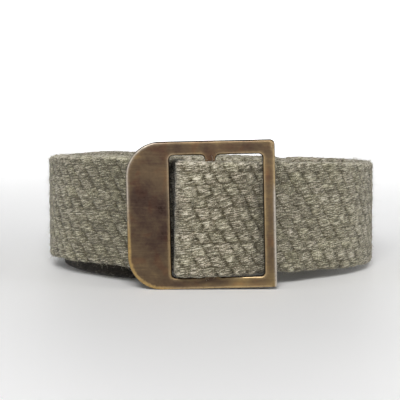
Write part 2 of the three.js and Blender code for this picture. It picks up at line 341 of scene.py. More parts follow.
def webbing_material():
    """Matt melange yarn; tone, hue and depth come with the mesh, strands from noise along them. Depth
    darkens the yarn as painted shade in its pits, grooves and hidden parts; tone also carries painted
    highlights and painted shade.
    """
    n = Nodes("webbing_yarn")
    along, around, _ = n.add("SeparateXYZ", {"Vector": n.attribute("weave", "Vector")}).outputs
    across = n.total(around, n.math("MULTIPLY", along, STRAND_RISE))
    grain = n.add("CombineXYZ", {"X": along, "Y": across}).outputs[0]
    strand = n.noise(n.scaled(grain, (0.42, 2.9, 1.0)), 1.0, 1.5, 0.55, 0.25)
    fibre = n.noise(n.scaled(grain, (1.6, 8.0, 1.0)), 1.0, 2.0, 0.6, 0.3)
    speck = n.noise(n.scaled(grain, (2.3, 4.0, 1.0)), 1.0, 1.0, 0.5)
    lightness = n.total(n.attribute("tone"), n.remap(strand, 0.3, 0.7, -0.46, 0.46),
                        n.remap(speck, 0.3, 0.7, -0.34, 0.34), n.remap(fibre, 0.3, 0.7, -0.11, 0.11))
    colour = n.ramp(lightness, [
        (0.05, (0.064, 0.056, 0.036)),
        (0.35, (0.142, 0.128, 0.088)),
        (0.62, (0.248, 0.226, 0.161)),
        (0.95, (0.481, 0.444, 0.342)),
        (1.00, (0.560, 0.522, 0.435)),
    ])
    hue = n.ramp(n.attribute("hue"), [
        (0.0, (0.985, 1.00, 0.915)), (0.45, (1.0, 1.0, 1.0)), (1.0, (1.05, 0.985, 1.0))])
    colour = n.mix(1.0, colour, hue, "MULTIPLY")
    # Painted shade: the depth field darkens the yarn in its pits, grooves and hidden parts
    painted_cavity_shade = n.ramp(n.attribute("depth"), [(0.0, (0.060, 0.050, 0.052)), (0.28, (0.46, 0.43, 0.36)),
                                            (0.58, (1.0, 1.0, 1.0))])
    colour = n.mix(1.0, colour, painted_cavity_shade, "MULTIPLY")
    height = n.total(strand, n.math("MULTIPLY", fibre, 0.35))
    return n.finish(Base_Color=colour, Roughness=0.92, Normal=n.bump(height, 0.00030, 0.8),
                    Sheen_Weight=0.12, Sheen_Roughness=0.6, Specular_IOR_Level=0.2)


# Weave: rows of slanted bundles round the band, each a few yarns side by side
SECTION_ROUND = 1.35  # selvage radius of the woven surface
INSET = 0.28  # ground of the relief below the CAD's surface
ROWS = 20
BUNDLE_PITCH = 4.7
SLANT = 0.42
STRAND_RISE = 0.20  # strands climb against the band's run
YARN_PITCH = 0.70
BUNDLE_HEIGHT = 0.44
YARN_HEIGHT = 0.22
PLY_LENGTH = 1.7
PLY_HEIGHT = 0.03
YARN_SHADE = 0.465  # the yarn's mean place on its colour ramp
RIM = 39.0  # reference width
REACH = {"along": 1.02, "across": 1.16}  # of a bundle, over its share of the pitch
DROP = {"end": 0.55, "side": 0.60}  # of a bundle's height
BUNDLE_YARNS = 12  # kept for each bundle in the tables, more than any shows
WAVES = 14  # in each random field that bends the rows
WAVY_ALONG = {"size": 0.26, "lengths": (14, 60)}
WAVY_ACROSS = {"size": 0.12, "lengths": (12, 50)}
# Short slanted pits where a bundle's strands dive under, past the bundle's end
PIT = {"ahead": -2.35, "above": -0.2, "slope": math.radians(44), "length": 1.15, "width": 0.52,
       "depth": 0.36, "catch_ahead": 1.40, "catch_above": 0.2}


def section_outline(corner, inset):
    """The section's perimeter, the ends of its corner arcs, and a function from the distance round
    it to the place and normal there, each as out and up."""
    half, rise = HALF - inset - corner, RIM / 2 - inset - corner
    arc = math.pi / 2 * corner
    centres = [(half, -rise), (half, rise), (-half, rise), (-half, -rise)]
    starts = np.cumsum([half, 2 * rise, 2 * half, 2 * rise]) + arc * np.arange(4)
    perimeter = starts[-1] + arc + half
    distances = np.array([0.0, *np.column_stack([starts, starts + arc]).ravel(), perimeter])
    angles = math.pi / 2 * np.array([-1, -1, 0, 0, 1, 1, 2, 2, 3, 3])
    middles = np.array([(0.0, -rise), *np.repeat(centres, 2, axis=0), (0.0, -rise)])
    places = middles + corner * np.column_stack([np.cos(angles), np.sin(angles)])

    def at(distance):
        angle = np.interp(distance, distances, angles)
        out, up = (np.interp(distance, distances, places[:, k]) for k in (0, 1))
        for start, (centre_out, centre_up) in zip(starts, centres):
            on_arc = (distance >= start) & (distance <= start + arc)
            out = np.where(on_arc, centre_out + corner * np.cos(angle), out)
            up = np.where(on_arc, centre_up + corner * np.sin(angle), up)
        return out, up, np.cos(angle), np.sin(angle)

    return perimeter, distances, at


PERIMETER, KNOTS, section_at = section_outline(SECTION_ROUND, INSET)


def round_samples(outer_step, inner_step, edge_step=0.24):
    """Distances round the section, finer on the face that shows."""
    steps = [edge_step] * (len(KNOTS) - 1)
    steps[2], steps[6] = outer_step, inner_step
    parts = []
    for low, high, step in zip(KNOTS[:-1], KNOTS[1:], steps):
        count = max(1, round((high - low) / step))
        parts.append(np.linspace(low, high, count, endpoint=False))
    return np.concatenate(parts)


def waves(rng, size, lengths, along, around):
    """A smooth random field that closes on itself round the section."""
    field = 0.0
    for _ in range(WAVES):
        rate = TAU / rng.uniform(*lengths)
        turns = int(rng.integers(-4, 5))
        field = field + np.sin(rate * along + TAU * turns * around + rng.uniform(0, TAU))
    return size * field / math.sqrt(WAVES / 2)


# What differs from bundle to bundle and from yarn to yarn
CELLS = math.ceil(LENGTH / BUNDLE_PITCH) + 6
PER_BUNDLE = (CELLS, ROWS)
PER_YARN = (CELLS, ROWS, BUNDLE_YARNS)
table_rng = np.random.default_rng(11)
JITTER_S = table_rng.normal(0, 0.33, PER_BUNDLE)
JITTER_V = table_rng.normal(0, 0.19, PER_BUNDLE)
CELL_HEIGHT = table_rng.uniform(0.78, 1.12, PER_BUNDLE)
CELL_TONE = table_rng.normal(0, 0.045, PER_BUNDLE)
CELL_TILT = np.tan(np.radians(table_rng.normal(12, 7, PER_BUNDLE)))
CELL_BEND = table_rng.normal(0.08, 0.06, PER_BUNDLE)
CELL_HUE = table_rng.uniform(0.2, 0.8, PER_BUNDLE)
CELL_PHASE = table_rng.uniform(0, 1, PER_BUNDLE)
PIT_SHARE = table_rng.uniform(0.45, 1.15, PER_BUNDLE)
PIT_SLIDE = table_rng.normal(0, 0.22, PER_BUNDLE)
YARN_LIFT = table_rng.uniform(0.55, 1.0, PER_YARN)
YARN_TONE = table_rng.normal(0, 0.06, PER_YARN)
YARN_HUE = table_rng.uniform(0, 1, PER_YARN)
FLECKS = table_rng.normal(0, 1, 4096)


def pit_at(past, over, bundle):
    """How deep the pit past a bundle's end is there, and how far the edge behind it catches light."""
    cos, sin = math.cos(PIT["slope"]), math.sin(PIT["slope"])
    long_way = (past * sin + over * cos - PIT_SLIDE[bundle]) / PIT["length"]
    wide_way = (past * cos - over * sin) / PIT["width"]
    behind = (past + PIT["catch_ahead"]) ** 2 / 0.9 + (over - PIT["catch_above"]) ** 2
    share = PIT_SHARE[bundle]
    return share * np.exp(-long_way ** 2 - wide_way ** 2), share * np.exp(-behind)


def bundles_at(s, v):
    """The bundle on top at places of the weave: its key in the tables, the place's distance along
    and across it, its height and the next bundle's, and the deepest pit and catch."""
    row_pitch = PERIMETER / ROWS
    row_now = np.floor(v / row_pitch).astype(int)
    best = np.full(s.shape, -9.0)
    second = best
    key = (np.zeros(s.shape, int), np.zeros(s.shape, int))
    du_best, dv_best, pit, catch = (np.zeros(s.shape) for _ in range(4))
    for row_step in (-1, 0, 1):
        row = row_now + row_step
        dv0 = v - (row + 0.5) * row_pitch
        offset = 0.5 * (row % 2)
        cell_now = np.round((s - SLANT * dv0) / BUNDLE_PITCH - offset).astype(int)
        for cell_step in (-1, 0, 1):
            cell = cell_now + cell_step
            bundle = (np.clip(cell + 3, 0, CELLS - 1), row % ROWS)
            dv = dv0 - JITTER_V[bundle]
            du = s - (cell + offset) * BUNDLE_PITCH - JITTER_S[bundle] - SLANT * dv
            u = np.abs(du) / (0.5 * BUNDLE_PITCH * REACH["along"])
            w = np.abs(dv) / (0.5 * row_pitch * REACH["across"])
            height = CELL_HEIGHT[bundle] * (1 - DROP["end"] * u ** 2.0 - DROP["side"] * w ** 2.2)
            dip, lit = pit_at(du + SLANT * dv - PIT["ahead"], dv - PIT["above"], bundle)
            pit, catch = np.maximum(pit, dip), np.maximum(catch, lit)
            on_top = height > best
            second = np.where(on_top, best, np.maximum(second, height))
            best = np.where(on_top, height, best)
            key = tuple(np.where(on_top, new, old) for new, old in zip(bundle, key))
            du_best, dv_best = np.where(on_top, du, du_best), np.where(on_top, dv, dv_best)
    return key, du_best, dv_best, best, second, pit, catch


def yarns_at(bundle, du, dv):
    """The yarn at places of a bundle: its key, its ridge, and its plies' fleck and knuckle."""
    bow = CELL_TILT[bundle] * du - CELL_BEND[bundle] * du ** 2
    place_across = (dv + bow) / YARN_PITCH + CELL_PHASE[bundle] + BUNDLE_YARNS / 2
    number = np.floor(place_across).astype(int)
    across = 2 * (place_across - number) - 1
    yarn = (*bundle, np.clip(number, 0, BUNDLE_YARNS - 1))
    ridge = np.sqrt(np.maximum(0, 1 - across ** 2 * 0.96)) * YARN_LIFT[yarn]
    ply_place = (du + 0.45 * YARN_PITCH * across) / PLY_LENGTH + 7 * CELL_PHASE[bundle] + 8
    ply = np.floor(ply_place).astype(int)
    mixed = yarn[0] * 733 + yarn[1] * 179 + yarn[2] * 283 + ply * 419
    return yarn, ridge, FLECKS[mixed % len(FLECKS)], np.sin(math.pi * (ply_place - ply))


def weave_at(turn, relaxed, around):
    """Relief in millimetres and the fields depth, tone and hue, at places on the band; depth is painted
    shade in the weave's pits and grooves, and tone holds painted highlights.
    """
    share = around / PERIMETER
    plump = run_value("plump", turn)
    wave_rng = np.random.default_rng(5)
    s = relaxed + waves(wave_rng, **WAVY_ALONG, along=relaxed, around=share)
    v = around + waves(wave_rng, **WAVY_ACROSS, along=relaxed, around=share)
    bundle, du, dv, best, second, pit, catch = bundles_at(*np.broadcast_arrays(s, v))
    pit, catch = pit * plump, catch * plump
    yarn, ridge, fleck, knuckle = yarns_at(bundle, du, dv)
    relief = BUNDLE_HEIGHT * np.clip(best, -0.35, 1.0) + YARN_HEIGHT * ridge
    relief = relief + PLY_HEIGHT * (knuckle + 0.4 * fleck) - PIT["depth"] * pit
    # Painted shade: darker between yarns, in the grooves between bundles, low on each bundle and in the
    # pits
    depth = (0.45 + 0.55 * ridge) * (0.80 + 0.20 * smoothstep(best - second, 0.0, 0.55))
    depth = depth * (0.90 + 0.10 * knuckle) * (1 - 0.34 * plump * falling(best - second, 0.0, 0.22))
    depth = depth * (0.60 + 0.40 * smoothstep(best, 0.25, 0.60)) * (1 - 0.85 * np.minimum(pit, 1))
    # Painted highlights: catch lightens the strands that come up behind a pit, and the next line lightens
    # raised bundle tops and darkens low ones
    tone = YARN_SHADE + CELL_TONE[bundle] + YARN_TONE[yarn] + 0.05 * fleck + 0.14 * catch
    tone = tone + 0.15 * plump * (smoothstep(best, 0.35, 0.95) - 0.6)
    hue = 0.65 * CELL_HUE[bundle] + 0.35 * YARN_HUE[yarn] + run_value("hue", turn)
    return relief, depth, tone, hue


def lift_and_width(turn):
    """Height of the band's lower edge over the surface, and its width there."""
    above = np.clip(np.searchsorted(SECTIONS[:, 0], turn), 1, len(SECTIONS) - 1)
    low, high = SECTIONS[above - 1], SECTIONS[above]
    eased = smoothstep(turn, low[..., 0], high[..., 0])
    return (low[..., k] + (high[..., k] - low[..., k]) * eased for k in (1, 2))


def paint_light_and_shade(turn, hidden, normal_out, normal_up, depth, tone):
    """Depth and tone with painted light and shade: a painted highlight on the upper selvage, painted
    shade on the hidden low start of the inner turn and between the layers, and the run's painted light
    and shade.
    """
    # Painted shade on the inner turn's outer face, between it and the outer turn
    shade_between_layers = smoothstep(turn, 1.70, 1.78) * smoothstep(normal_out, -0.5, 0.3)
    # Painted highlight on the upper selvage where it faces up to the light
    selvage_highlight = smoothstep(normal_up, 0.10, 0.7) * (1 - hidden)
    selvage_highlight = selvage_highlight * (0.45 + 0.55 * smoothstep(normal_out, -0.75, -0.1))
    # Painted light and shade along the run from the tone table, plus the selvage's painted highlight
    tone = tone + run_value("tone", turn) + run_value("selvage", turn) * selvage_highlight
    depth = depth + 0.7 * (1 - depth) * selvage_highlight
    # Painted shade: the hidden low start of the inner turn goes almost black, the face between the layers
    # darker
    return depth * (1 - 0.97 * hidden) * (1 - 0.40 * shade_between_layers), tone


def surface(along, around):
    """Points, normals and weave fields of the band's surface; along and around broadcast."""
    out, up, normal_out, normal_up = section_at(around)
    x, y, angle, turn = (np.interp(along, LINE[:, 0], LINE[:, k]) for k in (1, 2, 3, 4))
    out_x, out_y = np.cos(angle), np.sin(angle)
    lift, width = lift_and_width(turn)
    relief, depth, tone, hue = weave_at(turn, relaxed_at(along), around)
    # The low start of the inner turn lies hidden behind the outer one; there it is painted almost black
    # as shade under the outer turn, and its relief is flattened
    hidden = smoothstep(turn, 1.022, 1.045) * falling(turn, 1.27, 1.34)
    depth, tone = paint_light_and_shade(turn, hidden, normal_out, normal_up, depth, tone)
    relief = relief * (1 - 0.7 * hidden)
    side = out + relief * normal_out
    rise = up * (width / RIM) + relief * normal_up
    points = np.stack(np.broadcast_arrays(
        x + side * out_x, y + side * out_y, lift + width / 2 + rise), axis=-1)
    normals = np.stack(np.broadcast_arrays(
        normal_out * out_x, normal_out * out_y, normal_up), axis=-1)
    points = lean(points, falling(points[..., 1], *ROLL_FADE))
    x, y, z = np.moveaxis(points, -1, 0)
    at_slot = smoothstep(x, -14, -9) * falling(x, -4, 9) * falling(y, 3, 14)
    points[..., 0] += SLOT_SLANT["slope"] * (z - SLOT_SLANT["foot"]) * at_slot
    points[..., 2] = np.maximum(z, 0.02)  # just clear of the table
    return points, normals, depth, tone, hue


def add_webbing(name, points, triangles, fields, flat_from=None):
    place(add_mesh(name, points, triangles, YARN, fields, flat_from), "webbing")


def band_piece(name, start, end, step_along, samples):
    """One closed stretch of the woven band."""
    count = max(2, math.ceil((end - start) / step_along))
    along = np.linspace(start, end, count + 1)
    points, _, depth, tone, hue = surface(along[:, None], samples[None, :])
    points, triangles = closed_tube(points)
    flat_from = len(triangles) - 2 * len(samples)
    weave = np.stack(np.broadcast_arrays(relaxed_at(along)[:, None], samples[None, :], 0.0), axis=-1)
    fields = {"weave": np.concatenate([weave.reshape(-1, 3), [[start, 0, 0], [end, 0, 0]]])}
    for field, values, at_ends in (("depth", depth, 0.4), ("tone", tone, 0.5), ("hue", hue, 0.5)):
        fields[field] = np.append(values.ravel(), [at_ends, at_ends])
    add_webbing(name, points, triangles, fields, flat_from)


# Turns made where one piece of the band ends and the next begins
LEFT_END, RIGHT_END, FRONT, SLOT, INNER_BACK, TIP = 0.27, 0.72, 0.90, 1.015, 1.45, 2.0
OUTER_SAMPLES = round_samples(0.20, 0.60)
INNER_SAMPLES = round_samples(0.60, 0.27)
# Name, last turn, step along and samples round: fine where the camera sees it
STRETCHES = [
    ("webbing_left", LEFT_END, 0.48, OUTER_SAMPLES),
    ("webbing_back", RIGHT_END, 0.80, OUTER_SAMPLES),
    ("webbing_right", FRONT, 0.48, OUTER_SAMPLES),
    ("webbing_window", SLOT, 0.42, OUTER_SAMPLES),
    ("webbing_inner_left", INNER_BACK, 0.80, INNER_SAMPLES),
    ("webbing_inner_right", TIP, 0.80, INNER_SAMPLES),
]
YARN = webbing_material()
piece_start = 0.0
for piece_name, last_turn, step_along, samples in STRETCHES:
    piece_end = distance_at(last_turn)
    band_piece(piece_name, piece_start, piece_end, step_along, samples)
    piece_start = piece_end


def add_tubes(name, paths, radii, sides, tone):
    """Closed thin tubes along many paths at once."""
    count, stations, _ = paths.shape
    run = normalised(paths[:, -1] - paths[:, 0])
    helper = np.where(np.abs(run[:, 2:]) < 0.8, [[0.0, 0.0, 1.0]], [[1.0, 0.0, 0.0]])
    first_axis = normalised(np.cross(run, helper))
    second_axis = np.cross(run, first_axis)
    angles = np.arange(sides) / sides * TAU
    ring = (np.cos(angles)[None, :, None] * first_axis[:, None]
            + np.sin(angles)[None, :, None] * second_axis[:, None])
    points = paths[:, :, None] + radii[:, :, None, None] * ring[:, None]
    index = np.arange(count * stations * sides).reshape(count, stations, sides)
    after = np.roll(index, -1, axis=2)
    a, b, c, d = index[:, :-1], after[:, :-1], index[:, 1:], after[:, 1:]
    triangles = [np.stack([a, b, c, b, d, c], -1).reshape(-1, 3)]
    for k in range(1, sides - 1):
        triangles += [index[:, 0][:, [0, k + 1, k]], index[:, -1][:, [0, k, k + 1]]]
    points, triangles = points.reshape(-1, 3), np.concatenate(triangles)
    fields = {"weave": points, "depth": np.ones(len(points)), "hue": np.full(len(points), 0.4),
              "tone": np.repeat(tone, stations * sides)}
    add_webbing(name, points, triangles, fields)


FUZZ = {"count": 9000, "on_selvage": 0.6, "at_foot": 0.35, "long_share": 0.18, "long": 2.4, "short": 1.1,
        "thin": 0.024, "thick": 0.040, "taper": (1.0, 0.9, 0.75, 0.45)}


def fuzz():
    """Loose fibres standing off the faces that show and off both selvages."""
    rng = np.random.default_rng(23)
    count = FUZZ["count"]
    left_end, right_end, slot = (distance_at(turn) for turn in (LEFT_END, RIGHT_END, SLOT))
    face_at = rng.uniform(0, left_end + slot - right_end, count)
    face_at = np.where(face_at < left_end, face_at, face_at - left_end + right_end)
    on_selvage = rng.random(count) < FUZZ["on_selvage"]
    along = np.where(on_selvage, rng.uniform(0, LENGTH, count), face_at)
    foot = rng.uniform(KNOTS[7] - PERIMETER - 0.2, KNOTS[2] + 0.2, count) % PERIMETER
    top = rng.uniform(KNOTS[3] - 0.2, KNOTS[6] + 0.2, count)
    selvage = np.where(rng.random(count) < FUZZ["at_foot"], foot, top)
    around = np.where(on_selvage, selvage, rng.uniform(KNOTS[2], KNOTS[3], count))
    root, normal, _, _, _ = surface(along, around)
    sideways = rng.normal(0, 1, (count, 3))
    sideways = normalised(sideways - np.sum(sideways * normal, axis=1, keepdims=True) * normal)
    rise = rng.uniform(0.15, 0.85, (count, 1))
    heading = normal * rise + sideways * np.sqrt(1 - rise ** 2)
    bend = rng.normal(0, 0.5, (count, 3)) + 0.25 * normal
    length = np.where(rng.random(count) < FUZZ["long_share"], FUZZ["long"], FUZZ["short"])
    length = length * rng.uniform(0.6, 1.4, count)
    part = np.linspace(0, 1, len(FUZZ["taper"]))[None, :, None]
    paths = root[:, None] + length[:, None, None] * (
        part * heading[:, None] + 0.5 * part ** 2 * bend[:, None]) - 0.08 * normal[:, None]
    paths[..., 2] = np.maximum(paths[..., 2], 0.06)
    radii = rng.uniform(FUZZ["thin"], FUZZ["thick"], (count, 1)) * np.array([FUZZ["taper"]])
    add_tubes("webbing_fuzz", paths, radii, 3, rng.uniform(0.45, 0.95, count))


STITCH = {"length": 2.5, "pitch": 3.2, "radius": 0.24, "margin": 2.2, "arch": 0.55, "sunk": 0.30}
SEAMS = {"fold": (3.0, 18.0, 21.0), "hem": (4.0, 7.0)}  # from the band's start and from its end


def stitches():
    """Rows of stitches across the sewn fold and across the free end's hem."""
    rows = [(along, KNOTS[2], KNOTS[3]) for along in SEAMS["fold"]]
    rows += [(LENGTH - along, KNOTS[6], KNOTS[7]) for along in SEAMS["hem"]]
    part = np.linspace(0, 1, 8)
    paths = []
    for along, low, high in rows:
        for start in np.arange(low + STITCH["margin"], high - STITCH["margin"], STITCH["pitch"]):
            around = start + part * STITCH["length"]
            points, normals, _, _, _ = surface(np.full(len(part), along), around)
            arch = STITCH["arch"] * np.sin(math.pi * part) ** 0.6 - STITCH["sunk"]
            paths.append(points + arch[:, None] * normals)
    paths = np.array(paths)
    radii = np.broadcast_to(STITCH["radius"], paths.shape[:2])
    add_tubes("webbing_stitches", paths, radii, 6, np.full(len(paths), 0.30))


fuzz()
stitches()


def brass_material():
    """Antique brass: dark purple-brown patina, worn to gold towards the edges, with some edges whitened
    as painted highlights and the slots' rims darkened as painted shade.
    """
    n = Nodes("antique_brass")
    at = n.add("TexCoord").outputs["Object"]
    edge = n.attribute("edge")
    cloud = n.noise(at, 90.0, 3.0, 0.55, 0.3)
    grain = n.noise(at, 1100.0, 3.0, 0.6)
    fine = n.noise(at, 3200.0, 2.0, 0.5)
    brushed = n.noise(n.scaled(at, (0.08, 1.0, 1.0)), 1500.0, 3.0, 0.6)
    ruddy = n.remap(n.noise(at, 150.0, 2.0, 0.5, 0.6), 0.52, 0.68, 0.0, 0.55)
    ruddy = n.math("MAXIMUM", ruddy, n.attribute("ruddy"))
    worn = n.total(n.attribute("warmth"), n.remap(cloud, 0.3, 0.7, -0.18, 0.18),
                   n.remap(grain, 0.3, 0.7, -0.05, 0.05), n.remap(brushed, 0.45, 0.75, -0.03, 0.09))
    colour = n.ramp(n.remap(worn, -0.25, 1.0, way="LINEAR"), [
        (0.05, (0.012, 0.008, 0.007)),
        (0.15, (0.056, 0.035, 0.028)),
        (0.24, (0.070, 0.046, 0.034)),
        (0.48, (0.126, 0.088, 0.054)),
        (0.68, (0.194, 0.136, 0.070)),
        (0.88, (0.285, 0.200, 0.090)),
        (1.00, (0.350, 0.256, 0.122)),
    ])
    colour = n.mix(n.math("MULTIPLY", ruddy, n.remap(edge, 0.0, 0.5, 1.0, 0.0)), colour,
                   (1.12, 0.86, 0.80, 1.0), "MULTIPLY")
    polished = n.math("MULTIPLY", edge, n.remap(grain, 0.30, 0.55, 0.60, 1.0))
    # Pale whitens the polished metal: a little as its own colour, more as a painted highlight down the
    # right side and over the top left corner
    bare_metal_and_highlight = n.mix(n.attribute("pale"), (0.64, 0.43, 0.16, 1.0), (0.80, 0.74, 0.66, 1.0))
    colour = n.mix(polished, colour, bare_metal_and_highlight)
    rough = n.remap(grain, 0.3, 0.7, 0.40, 0.48)
    rough = n.math("SUBTRACT", rough, n.math("MULTIPLY", polished, 0.16))
    height = n.total(n.math("MULTIPLY", fine, 0.4), n.math("MULTIPLY", grain, 0.6),
                     n.math("MULTIPLY", brushed, 0.35))
    return n.finish(Base_Color=colour, Metallic=1.0, Roughness=rough,
                    Normal=n.bump(height, 0.00003, 0.5))


# The buckle's edges and faces
ARC_POINTS = 25
SIDE_POINTS = 60
FACE = {"grid": 0.55, "jitter": 0.1, "margin": 0.3}
# Edge section from the side wall to the flat face: inset, depth, how polished outside and in holes
EDGE_PROFILE = [(0.0, 0.56, 0.0, 0.0), (0.05, 0.38, 0.05, 0.0), (0.13, 0.24, 0.20, 0.0),
                (0.25, 0.11, 0.45, 0.10), (0.38, 0.03, 0.66, 0.32), (0.56, 0.0, 0.45, 0.32),
                (0.85, 0.0, 0.08, 0.06)]
TOP_POLISH = (0.0, 0.0, 0.0, 0.0, 0.0, 0.28, 0.28)  # along the outer top edge, in the same order
RIGHT_POLISH = ((0.0, 0.1, 0.5, 0.75, 1.1), (0.3, 0.7, 0.7, 0.2, 0.0))  # inset, polish
RIGHT_ROLL = 1.55  # width of the worn band along the outer right edge
PLATE = {"x": -16.8, "z": 25.0, "half_width": 9.2, "half_height": 20.0}  # darkest in its middle
# Spots of the patina: x, z, half width, half height, strength
RUDDY = [(4.0, 42.0, 2.6, 5.0, 1.0), (23.3, 38.5, 1.4, 2.6, 0.8), (10.5, 48.4, 3.0, 1.2, 0.4)]
SCUFFS = [(-20.8, 45.6, 2.4, 0.8, 0.20), (-13.8, 44.2, 1.2, 0.6, 0.10),
          (-22.3, 44.0, 1.2, 0.5, 0.12)]


def rounded_loop(left, right, foot, top, radii, arc_points=ARC_POINTS, side_points=SIDE_POINTS):
    """A rounded rectangle, anticlockwise; radii are left foot, right foot, right top, left top."""
    corners = [(left, foot, 1, 1, 180), (right, foot, -1, 1, 270), (right, top, -1, -1, 0),
               (left, top, 1, -1, 90)]
    arcs = []
    for (x, z, across, up, start), radius in zip(corners, radii):
        angles = np.radians(start + np.linspace(0, 90, arc_points))
        arcs.append(np.column_stack([x + radius * (across + np.cos(angles)),
                                     z + radius * (up + np.sin(angles))]))
    steps = np.linspace(0, 1, side_points + 2)[1:-1, None]
    loop = []
    for arc, after in zip(arcs, arcs[1:] + arcs[:1]):
        loop += [arc, arc[-1] + (after[0] - arc[-1]) * steps]
    return np.concatenate(loop)


def outer_loop(inset):
    """The buckle's outline, drawn in; the right side draws in more, for its wide rounding."""
    right_inset = inset * RIGHT_ROLL / EDGE_PROFILE[-1][0]
    radii = [OUTER_CORNERS["left"] - inset, max(OUTER_CORNERS["right_foot"] - 0.6 * inset, 0.3),
             max(OUTER_CORNERS["right_top"] - 0.8 * inset, 0.3), OUTER_CORNERS["left"] - inset]
    return rounded_loop(BUCKLE["left"] + inset, BUCKLE["right"] - right_inset, inset,
                        BUCKLE["height"] - inset, radii)


def slot_loop(inset, left, right, left_top, right_top):
    """A slot's outline, drawn into the metal round it; its top corners have radii of their own."""
    radii = [WINDOW["corner"] + inset, WINDOW["corner"] + inset, right_top + inset, left_top + inset]
    return rounded_loop(left - inset, right + inset, WINDOW["foot"] - inset, WINDOW["top"] + inset, radii)


def frame_loops(inset):
    """The outline and both slots."""
    corner, fillet = WINDOW["corner"], CENTRE_BAR["fillet"]
    return [outer_loop(inset),
            slot_loop(inset, WINDOW["left"], CENTRE_BAR["left"], corner, fillet),
            slot_loop(inset, CENTRE_BAR["right"], WINDOW["right"], fillet, corner)]


def inside(loop, points):
    """Which points lie inside a closed loop."""
    x, z = points[:, 0][:, None], points[:, 1][:, None]
    x0, z0 = loop.T
    x1, z1 = np.roll(x0, -1), np.roll(z0, -1)
    crosses = (z0 > z) != (z1 > z)
    rise = np.where(z1 == z0, 1e-9, z1 - z0)
    at = x0 + (z - z0) / rise * (x1 - x0)
    return (np.sum(crosses & (x < at), axis=1) % 2) == 1


def in_metal(loops, points):
    """Which points lie inside the outline and outside its slots."""
    outline, *slots = loops
    kept = inside(outline, points)
    for slot in slots:
        kept &= ~inside(slot, points)
    return kept


def distance_to(loop, points):
    """Distance from points to a closed loop's sides."""
    best = np.full(len(points), 1e9)
    for start, side in zip(loop, np.roll(loop, -1, axis=0) - loop):
        part = np.clip(((points - start) @ side) / max(float(side @ side), 1e-12), 0, 1)
        best = np.minimum(best, np.hypot(*(points - start - part[:, None] * side).T))
    return best


def flat_face(loops, rng):
    """Points and triangles of the face between an outline and its slots."""
    low, high = loops[0].min(axis=0), loops[0].max(axis=0)
    columns, rows = (np.arange(low[k], high[k], FACE["grid"]) for k in (0, 1))
    grid = np.stack(np.meshgrid(columns, rows), -1).reshape(-1, 2)
    grid = grid + rng.uniform(-FACE["jitter"], FACE["jitter"], grid.shape)
    kept = in_metal(loops, grid)
    for loop in loops:
        kept &= distance_to(loop, grid) > FACE["margin"]
    points = np.concatenate([*loops, grid[kept]])
    size = len(loops[0])
    edges = [(first + k, first + (k + 1) % size)
             for first in range(0, size * len(loops), size) for k in range(size)]
    flat, _, triangles, origin, _, _ = delaunay_2d_cdt(
        [Vector(p) for p in points], edges, [], 0, 1e-7)
    assert len(flat) == len(points), "the face's points merged"
    order = np.array([o[0] for o in origin])
    triangles = order[np.array([tuple(t) for t in triangles])]
    triangles = triangles[in_metal(loops, points[triangles].mean(axis=1))]
    a, b, c = (points[triangles[:, k]] for k in range(3))
    turned = np.cross(b - a, c - a) < 0
    triangles[turned] = triangles[turned][:, ::-1]
    return points, triangles


def upright(flat, y):
    """Points of the buckle's plane, set at a depth behind its front face."""
    return np.column_stack([flat[:, 0], np.full(len(flat), y), flat[:, 1]])


def buckle_frame():
    """The buckle's flat frame: rounded edges all round, flat faces of small triangles."""
    thick = BUCKLE["thick"]
    back = [(inset, thick - y, outer, slot) for inset, y, outer, slot in EDGE_PROFILE]
    profile = EDGE_PROFILE[::-1] + back
    rings = np.array([[upright(loop, y) for loop in frame_loops(inset)] for inset, y, _, _ in profile])
    levels, loops, size, _ = rings.shape
    points, triangles, edge = [], [], []
    for which in range(loops):
        strip = which * levels * size + ring_strip(size, levels)
        triangles.append(strip if which else strip[:, ::-1])
        points.append(rings[:, which].reshape(-1, 3))
        edge.append(np.repeat([row[3 if which else 2] for row in profile], size))
    face, face_triangles = flat_face(frame_loops(EDGE_PROFILE[-1][0]), np.random.default_rng(3))
    inner = face[loops * size:]
    count = loops * levels * size
    for y, level in ((0.0, 0), (thick, levels - 1)):
        rims = (np.arange(loops)[:, None] * levels + level) * size + np.arange(size)
        mapped = np.concatenate([rims.ravel(), count + np.arange(len(inner))])[face_triangles]
        triangles.append(mapped[:, ::-1] if level else mapped)
        points.append(upright(inner, y))
        edge.append(np.zeros(len(inner)))
        count += len(inner)
    points = np.concatenate(points)
    rim = np.minimum.reduce([distance_to(loop, points[:, [0, 2]]) for loop in frame_loops(0.0)])
    edge = edge_polish(points, rim, np.concatenate(edge))
    add_buckle("buckle_frame", points, np.concatenate(triangles), edge, plate_warmth(points, rim))


def low_left(x, z):
    """1 round the plate's lower left corner."""
    return falling(x, -16, -6) * falling(z, 14, 30)


